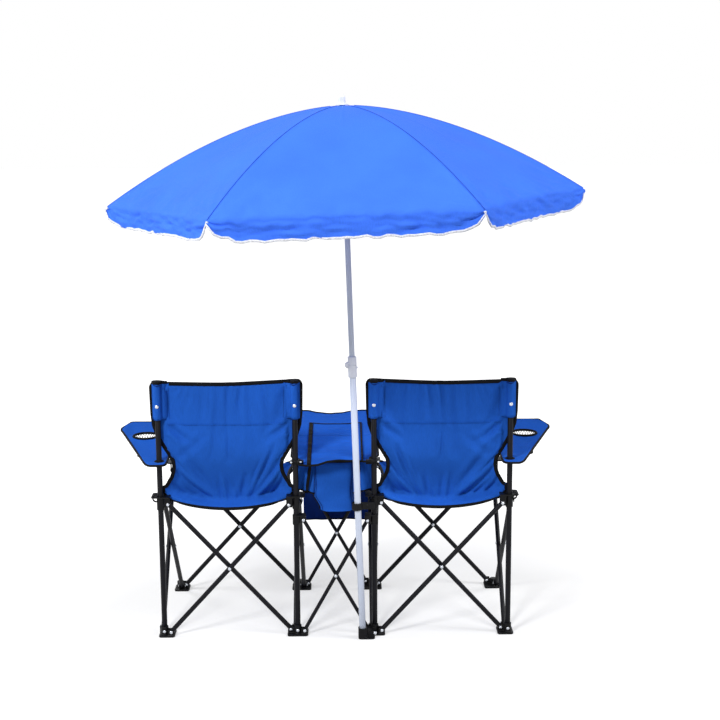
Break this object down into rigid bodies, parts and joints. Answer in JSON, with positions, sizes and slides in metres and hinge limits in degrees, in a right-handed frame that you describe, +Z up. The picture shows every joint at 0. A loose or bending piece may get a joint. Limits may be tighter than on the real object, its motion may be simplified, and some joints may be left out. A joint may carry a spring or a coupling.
{
  "type": "folding camping loveseat",
  "caption": "Folding double camping chair: fabric seats on crossed steel bars either side of a cooler table, with a tilting beach umbrella in a socket behind.",
  "frame": {"origin": "on the floor, under the middle of the whole outline seen from above", "axes": "+Z up, +Y the way a sitter faces, +X to the right when seen from behind"},
  "size_m": [1.6026, 1.343, 1.8369],
  "materials": {
    "frame_steel": "satin black powder coat",
    "moulded_plastic": "fine moulded grain",
    "pole_paint": "smooth white paint",
    "white_plastic": "smooth",
    "wire": "bright zinc",
    "seat_fabric": "woven polyester with black binding",
    "canopy_fabric": "light woven polyester with a pale hem"
  },
  "bodies": {
    "column_inner_right": {"rear_post_inner_right": "frame_steel", "rear_foot_inner_right": "moulded_plastic", "right_seat_and_back": "seat_fabric", "cooler_table": "seat_fabric", "cooler_bag": "seat_fabric"},
    "column_inner_left": {"rear_post_inner_left": "frame_steel", "rear_foot_inner_left": "moulded_plastic", "left_seat_and_back": "seat_fabric"},
    "column_outer_left": {"rear_post_outer_left": "frame_steel", "rear_foot_outer_left": "moulded_plastic"},
    "column_outer_right": {"rear_post_outer_right": "frame_steel", "rear_foot_outer_right": "moulded_plastic"},
    "rear_bar_left_rising_left": {"rear_bar_left_rising_left": "frame_steel"},
    "rear_bar_left_rising_right": {"rear_bar_left_rising_right": "frame_steel"},
    "rear_bar_middle_rising_left": {"rear_bar_middle_rising_left": "frame_steel"},
    "rear_bar_middle_rising_right": {"rear_bar_middle_rising_right": "frame_steel"},
    "rear_bar_right_rising_left": {"rear_bar_right_rising_left": "frame_steel"},
    "rear_bar_right_rising_right": {"rear_bar_right_rising_right": "frame_steel"},
    "front_bar_left_rising_left": {"front_bar_left_rising_left": "frame_steel"},
    "front_bar_left_rising_right": {"front_bar_left_rising_right": "frame_steel"},
    "front_bar_middle_rising_left": {"front_bar_middle_rising_left": "frame_steel"},
    "front_bar_middle_rising_right": {"front_bar_middle_rising_right": "frame_steel"},
    "front_bar_right_rising_left": {"front_bar_right_rising_left": "frame_steel"},
    "front_bar_right_rising_right": {"front_bar_right_rising_right": "frame_steel"},
    "rear_middle_hub_inner_left": {"rear_middle_hub_inner_left": "moulded_plastic"},
    "rear_middle_hub_inner_right": {"rear_middle_hub_inner_right": "moulded_plastic"},
    "rear_seat_hub_outer_left": {"rear_seat_hub_outer_left": "moulded_plastic", "left_armrest": "seat_fabric"},
    "rear_seat_hub_inner_left": {"rear_seat_hub_inner_left": "moulded_plastic"},
    "rear_seat_hub_outer_right": {"rear_seat_hub_outer_right": "moulded_plastic", "right_armrest": "seat_fabric"},
    "rear_seat_hub_inner_right": {"rear_seat_hub_inner_right": "moulded_plastic", "pole_clamp": "moulded_plastic"},
    "side_bar_outer_left_rising_front": {"side_bar_outer_left_rising_front": "frame_steel"},
    "side_bar_outer_left_rising_rear": {"side_bar_outer_left_rising_rear": "frame_steel"},
    "front_foot_outer_left": {"front_foot_outer_left": "moulded_plastic"},
    "front_hub_and_arm_tube_outer_left": {"front_hub_and_arm_tube_outer_left": "moulded_plastic"},
    "side_bar_inner_left_rising_front": {"side_bar_inner_left_rising_front": "frame_steel"},
    "side_bar_inner_left_rising_rear": {"side_bar_inner_left_rising_rear": "frame_steel"},
    "front_foot_inner_left": {"front_foot_inner_left": "moulded_plastic"},
    "front_seat_hub_inner_left": {"front_seat_hub_inner_left": "moulded_plastic"},
    "side_bar_inner_right_rising_front": {"side_bar_inner_right_rising_front": "frame_steel"},
    "side_bar_inner_right_rising_rear": {"side_bar_inner_right_rising_rear": "frame_steel"},
    "front_foot_inner_right": {"front_foot_inner_right": "moulded_plastic"},
    "front_seat_hub_inner_right": {"front_seat_hub_inner_right": "moulded_plastic"},
    "side_bar_outer_right_rising_front": {"side_bar_outer_right_rising_front": "frame_steel"},
    "side_bar_outer_right_rising_rear": {"side_bar_outer_right_rising_rear": "frame_steel"},
    "front_foot_outer_right": {"front_foot_outer_right": "moulded_plastic"},
    "front_hub_and_arm_tube_outer_right": {"front_hub_and_arm_tube_outer_right": "moulded_plastic"},
    "middle_hub_and_arm_tube_inner_left": {"middle_hub_and_arm_tube_inner_left": "moulded_plastic"},
    "middle_hub_and_arm_tube_inner_right": {"middle_hub_and_arm_tube_inner_right": "moulded_plastic"},
    "umbrella_pole": {"lower_pole": "pole_paint", "knuckle_base": "white_plastic"},
    "umbrella_top": {"knuckle_top": "white_plastic", "upper_pole": "pole_paint", "crown_and_ribs": "wire", "runner_and_struts": "wire", "canopy": "canopy_fabric", "finial": "white_plastic"},
    "knuckle_latch": {"knuckle_latch": "white_plastic"}
  },
  "joints": [
    {"name": "fold", "type": "hinge", "parent": "column_inner_right", "child": "rear_bar_middle_rising_left", "pos_m": [0.09073, 0.04, 0.018], "axis": [0, 1, 0], "range_deg": [0, 24.55], "deforming": ["left_seat_and_back", "right_seat_and_back", "left_armrest", "right_armrest", "cooler_table", "cooler_bag"]},
    {"name": "rear_middle_cross", "type": "hinge", "parent": "rear_bar_middle_rising_left", "child": "rear_bar_middle_rising_right", "pos_m": [-0.01827, 0.04, 0.2145], "axis": [0, 1, 0], "range_deg": [-49.12, 0]},
    {"name": "rear_middle_foot", "type": "hinge", "parent": "rear_bar_middle_rising_right", "child": "column_inner_left", "pos_m": [-0.12727, 0.04, 0.018], "axis": [0, 1, 0], "range_deg": [0, 24.57]},
    {"name": "rear_middle_hub_left", "type": "hinge", "parent": "rear_bar_middle_rising_left", "child": "rear_middle_hub_inner_left", "pos_m": [-0.12727, 0.04, 0.411], "axis": [0, 1, 0], "range_deg": [-24.57, 0]},
    {"name": "rear_middle_hub_right", "type": "hinge", "parent": "rear_bar_middle_rising_right", "child": "rear_middle_hub_inner_right", "pos_m": [0.09073, 0.04, 0.411], "axis": [0, 1, 0], "range_deg": [0, 24.57]},
    {"name": "rear_left_near_foot", "type": "hinge", "parent": "column_inner_left", "child": "rear_bar_left_rising_left", "pos_m": [-0.17527, 0.04, 0.018], "axis": [0, 1, 0], "range_deg": [0, 39.09]},
    {"name": "rear_left_cross", "type": "hinge", "parent": "rear_bar_left_rising_left", "child": "rear_bar_left_rising_right", "pos_m": [-0.38127, 0.04, 0.244], "axis": [0, 1, 0], "range_deg": [-78.16, 0]},
    {"name": "rear_left_far_foot", "type": "hinge", "parent": "rear_bar_left_rising_right", "child": "column_outer_left", "pos_m": [-0.58727, 0.04, 0.018], "axis": [0, 1, 0], "range_deg": [0, 39.09]},
    {"name": "rear_left_outer_hub", "type": "hinge", "parent": "rear_bar_left_rising_left", "child": "rear_seat_hub_outer_left", "pos_m": [-0.58727, 0.04, 0.47], "axis": [0, 1, 0], "range_deg": [-39.09, 0]},
    {"name": "rear_left_inner_hub", "type": "hinge", "parent": "rear_bar_left_rising_right", "child": "rear_seat_hub_inner_left", "pos_m": [-0.17527, 0.04, 0.47], "axis": [0, 1, 0], "range_deg": [0, 39.09]},
    {"name": "rear_right_near_foot", "type": "hinge", "parent": "column_inner_right", "child": "rear_bar_right_rising_right", "pos_m": [0.13873, 0.04, 0.018], "axis": [0, 1, 0], "range_deg": [-39.09, 0]},
    {"name": "rear_right_cross", "type": "hinge", "parent": "rear_bar_right_rising_right", "child": "rear_bar_right_rising_left", "pos_m": [0.34473, 0.04, 0.244], "axis": [0, 1, 0], "range_deg": [0, 78.16]},
    {"name": "rear_right_far_foot", "type": "hinge", "parent": "rear_bar_right_rising_left", "child": "column_outer_right", "pos_m": [0.55073, 0.04, 0.018], "axis": [0, 1, 0], "range_deg": [-39.09, 0]},
    {"name": "rear_right_outer_hub", "type": "hinge", "parent": "rear_bar_right_rising_right", "child": "rear_seat_hub_outer_right", "pos_m": [0.55073, 0.04, 0.47], "axis": [0, 1, 0], "range_deg": [0, 39.09]},
    {"name": "rear_right_inner_hub", "type": "hinge", "parent": "rear_bar_right_rising_left", "child": "rear_seat_hub_inner_right", "pos_m": [0.13873, 0.04, 0.47], "axis": [0, 1, 0], "range_deg": [-39.09, 0]},
    {"name": "side_outer_left_foot", "type": "hinge", "parent": "column_outer_left", "child": "side_bar_outer_left_rising_front", "pos_m": [-0.61127, 0.072, 0.018], "axis": [1, 0, 0], "range_deg": [0, 39.09]},
    {"name": "side_outer_left_cross", "type": "hinge", "parent": "side_bar_outer_left_rising_front", "child": "side_bar_outer_left_rising_rear", "pos_m": [-0.61127, 0.278, 0.244], "axis": [1, 0, 0], "range_deg": [-78.16, 0]},
    {"name": "side_outer_left_front_foot", "type": "hinge", "parent": "side_bar_outer_left_rising_rear", "child": "front_foot_outer_left", "pos_m": [-0.61127, 0.484, 0.018], "axis": [1, 0, 0], "range_deg": [0, 39.09]},
    {"name": "side_outer_left_front_hub", "type": "hinge", "parent": "side_bar_outer_left_rising_front", "child": "front_hub_and_arm_tube_outer_left", "pos_m": [-0.61127, 0.484, 0.47], "axis": [1, 0, 0], "range_deg": [-39.09, 0]},
    {"name": "side_inner_left_foot", "type": "hinge", "parent": "column_inner_left", "child": "side_bar_inner_left_rising_front", "pos_m": [-0.15127, 0.072, 0.018], "axis": [1, 0, 0], "range_deg": [0, 39.09]},
    {"name": "side_inner_left_cross", "type": "hinge", "parent": "side_bar_inner_left_rising_front", "child": "side_bar_inner_left_rising_rear", "pos_m": [-0.15127, 0.278, 0.244], "axis": [1, 0, 0], "range_deg": [-78.16, 0]},
    {"name": "side_inner_left_front_foot", "type": "hinge", "parent": "side_bar_inner_left_rising_rear", "child": "front_foot_inner_left", "pos_m": [-0.15127, 0.484, 0.018], "axis": [1, 0, 0], "range_deg": [0, 39.09]},
    {"name": "side_inner_left_front_hub", "type": "hinge", "parent": "side_bar_inner_left_rising_front", "child": "front_seat_hub_inner_left", "pos_m": [-0.15127, 0.484, 0.47], "axis": [1, 0, 0], "range_deg": [-39.09, 0]},
    {"name": "side_inner_right_foot", "type": "hinge", "parent": "column_inner_right", "child": "side_bar_inner_right_rising_front", "pos_m": [0.11473, 0.072, 0.018], "axis": [1, 0, 0], "range_deg": [0, 39.09]},
    {"name": "side_inner_right_cross", "type": "hinge", "parent": "side_bar_inner_right_rising_front", "child": "side_bar_inner_right_rising_rear", "pos_m": [0.11473, 0.278, 0.244], "axis": [1, 0, 0], "range_deg": [-78.16, 0]},
    {"name": "side_inner_right_front_foot", "type": "hinge", "parent": "side_bar_inner_right_rising_rear", "child": "front_foot_inner_right", "pos_m": [0.11473, 0.484, 0.018], "axis": [1, 0, 0], "range_deg": [0, 39.09]},
    {"name": "side_inner_right_front_hub", "type": "hinge", "parent": "side_bar_inner_right_rising_front", "child": "front_seat_hub_inner_right", "pos_m": [0.11473, 0.484, 0.47], "axis": [1, 0, 0], "range_deg": [-39.09, 0]},
    {"name": "side_outer_right_foot", "type": "hinge", "parent": "column_outer_right", "child": "side_bar_outer_right_rising_front", "pos_m": [0.57473, 0.072, 0.018], "axis": [1, 0, 0], "range_deg": [0, 39.09]},
    {"name": "side_outer_right_cross", "type": "hinge", "parent": "side_bar_outer_right_rising_front", "child": "side_bar_outer_right_rising_rear", "pos_m": [0.57473, 0.278, 0.244], "axis": [1, 0, 0], "range_deg": [-78.16, 0]},
    {"name": "side_outer_right_front_foot", "type": "hinge", "parent": "side_bar_outer_right_rising_rear", "child": "front_foot_outer_right", "pos_m": [0.57473, 0.484, 0.018], "axis": [1, 0, 0], "range_deg": [0, 39.09]},
    {"name": "side_outer_right_front_hub", "type": "hinge", "parent": "side_bar_outer_right_rising_front", "child": "front_hub_and_arm_tube_outer_right", "pos_m": [0.57473, 0.484, 0.47], "axis": [1, 0, 0], "range_deg": [-39.09, 0]},
    {"name": "front_middle_foot", "type": "hinge", "parent": "front_foot_inner_right", "child": "front_bar_middle_rising_left", "pos_m": [0.09073, 0.516, 0.018], "axis": [0, 1, 0], "range_deg": [0, 24.57]},
    {"name": "front_middle_cross", "type": "hinge", "parent": "front_bar_middle_rising_left", "child": "front_bar_middle_rising_right", "pos_m": [-0.01827, 0.516, 0.2145], "axis": [0, 1, 0], "range_deg": [-49.12, 0]},
    {"name": "front_middle_hub_inner_left", "type": "hinge", "parent": "front_bar_middle_rising_left", "child": "middle_hub_and_arm_tube_inner_left", "pos_m": [-0.12727, 0.516, 0.411], "axis": [0, 1, 0], "range_deg": [-24.57, 0]},
    {"name": "front_middle_hub_inner_right", "type": "hinge", "parent": "front_bar_middle_rising_right", "child": "middle_hub_and_arm_tube_inner_right", "pos_m": [0.09073, 0.516, 0.411], "axis": [0, 1, 0], "range_deg": [0, 24.57]},
    {"name": "front_left_near_foot", "type": "hinge", "parent": "front_foot_inner_left", "child": "front_bar_left_rising_left", "pos_m": [-0.17527, 0.516, 0.018], "axis": [0, 1, 0], "range_deg": [0, 39.09]},
    {"name": "front_left_cross", "type": "hinge", "parent": "front_bar_left_rising_left", "child": "front_bar_left_rising_right", "pos_m": [-0.38127, 0.516, 0.244], "axis": [0, 1, 0], "range_deg": [-78.16, 0]},
    {"name": "front_right_near_foot", "type": "hinge", "parent": "front_foot_inner_right", "child": "front_bar_right_rising_right", "pos_m": [0.13873, 0.516, 0.018], "axis": [0, 1, 0], "range_deg": [-39.09, 0]},
    {"name": "front_right_cross", "type": "hinge", "parent": "front_bar_right_rising_right", "child": "front_bar_right_rising_left", "pos_m": [0.34473, 0.516, 0.244], "axis": [0, 1, 0], "range_deg": [0, 78.16]},
    {"name": "umbrella_lift", "type": "slide", "parent": "column_inner_right", "child": "umbrella_pole", "axis": [-0.0314, 0, 0.9995], "range_m": [0, 0.5]},
    {"name": "umbrella_tilt", "type": "hinge", "parent": "umbrella_pole", "child": "umbrella_top", "pos_m": [0.02825, 0, 0.95607], "axis": [0, -1, 0], "range_deg": [0, 35]},
    {"name": "latch_press", "type": "slide", "parent": "umbrella_pole", "child": "knuckle_latch", "axis": [-0.9995, 0, -0.0314], "range_m": [0, 0.003], "stiffness_N_per_m": 300, "springref_m": -0.002}
  ],
  "couplings": [
    {"joint": "rear_middle_cross", "follows": "fold", "ratio": -2},
    {"joint": "rear_middle_foot", "follows": "fold", "ratio": 1},
    {"joint": "rear_middle_hub_left", "follows": "fold", "ratio": -1},
    {"joint": "rear_middle_hub_right", "follows": "fold", "ratio": 1},
    {"joint": "rear_left_near_foot", "follows": "fold", "ratio": 1.5913},
    {"joint": "rear_left_cross", "follows": "fold", "ratio": -3.1827},
    {"joint": "rear_left_far_foot", "follows": "fold", "ratio": 1.5913},
    {"joint": "rear_left_outer_hub", "follows": "fold", "ratio": -1.5913},
    {"joint": "rear_left_inner_hub", "follows": "fold", "ratio": 1.5913},
    {"joint": "rear_right_near_foot", "follows": "fold", "ratio": -1.5913},
    {"joint": "rear_right_cross", "follows": "fold", "ratio": 3.1827},
    {"joint": "rear_right_far_foot", "follows": "fold", "ratio": -1.5913},
    {"joint": "rear_right_outer_hub", "follows": "fold", "ratio": 1.5913},
    {"joint": "rear_right_inner_hub", "follows": "fold", "ratio": -1.5913},
    {"joint": "side_outer_left_foot", "follows": "fold", "ratio": 1.5913},
    {"joint": "side_outer_left_cross", "follows": "fold", "ratio": -3.1827},
    {"joint": "side_outer_left_front_foot", "follows": "fold", "ratio": 1.5913},
    {"joint": "side_outer_left_front_hub", "follows": "fold", "ratio": -1.5913},
    {"joint": "side_inner_left_foot", "follows": "fold", "ratio": 1.5913},
    {"joint": "side_inner_left_cross", "follows": "fold", "ratio": -3.1827},
    {"joint": "side_inner_left_front_foot", "follows": "fold", "ratio": 1.5913},
    {"joint": "side_inner_left_front_hub", "follows": "fold", "ratio": -1.5913},
    {"joint": "side_inner_right_foot", "follows": "fold", "ratio": 1.5913},
    {"joint": "side_inner_right_cross", "follows": "fold", "ratio": -3.1827},
    {"joint": "side_inner_right_front_foot", "follows": "fold", "ratio": 1.5913},
    {"joint": "side_inner_right_front_hub", "follows": "fold", "ratio": -1.5913},
    {"joint": "side_outer_right_foot", "follows": "fold", "ratio": 1.5913},
    {"joint": "side_outer_right_cross", "follows": "fold", "ratio": -3.1827},
    {"joint": "side_outer_right_front_foot", "follows": "fold", "ratio": 1.5913},
    {"joint": "side_outer_right_front_hub", "follows": "fold", "ratio": -1.5913},
    {"joint": "front_middle_foot", "follows": "fold", "ratio": 1},
    {"joint": "front_middle_cross", "follows": "fold", "ratio": -2},
    {"joint": "front_middle_hub_inner_left", "follows": "fold", "ratio": -1},
    {"joint": "front_middle_hub_inner_right", "follows": "fold", "ratio": 1},
    {"joint": "front_left_near_foot", "follows": "fold", "ratio": 1.5913},
    {"joint": "front_left_cross", "follows": "fold", "ratio": -3.1827},
    {"joint": "front_right_near_foot", "follows": "fold", "ratio": -1.5913},
    {"joint": "front_right_cross", "follows": "fold", "ratio": 3.1827}
  ]
}
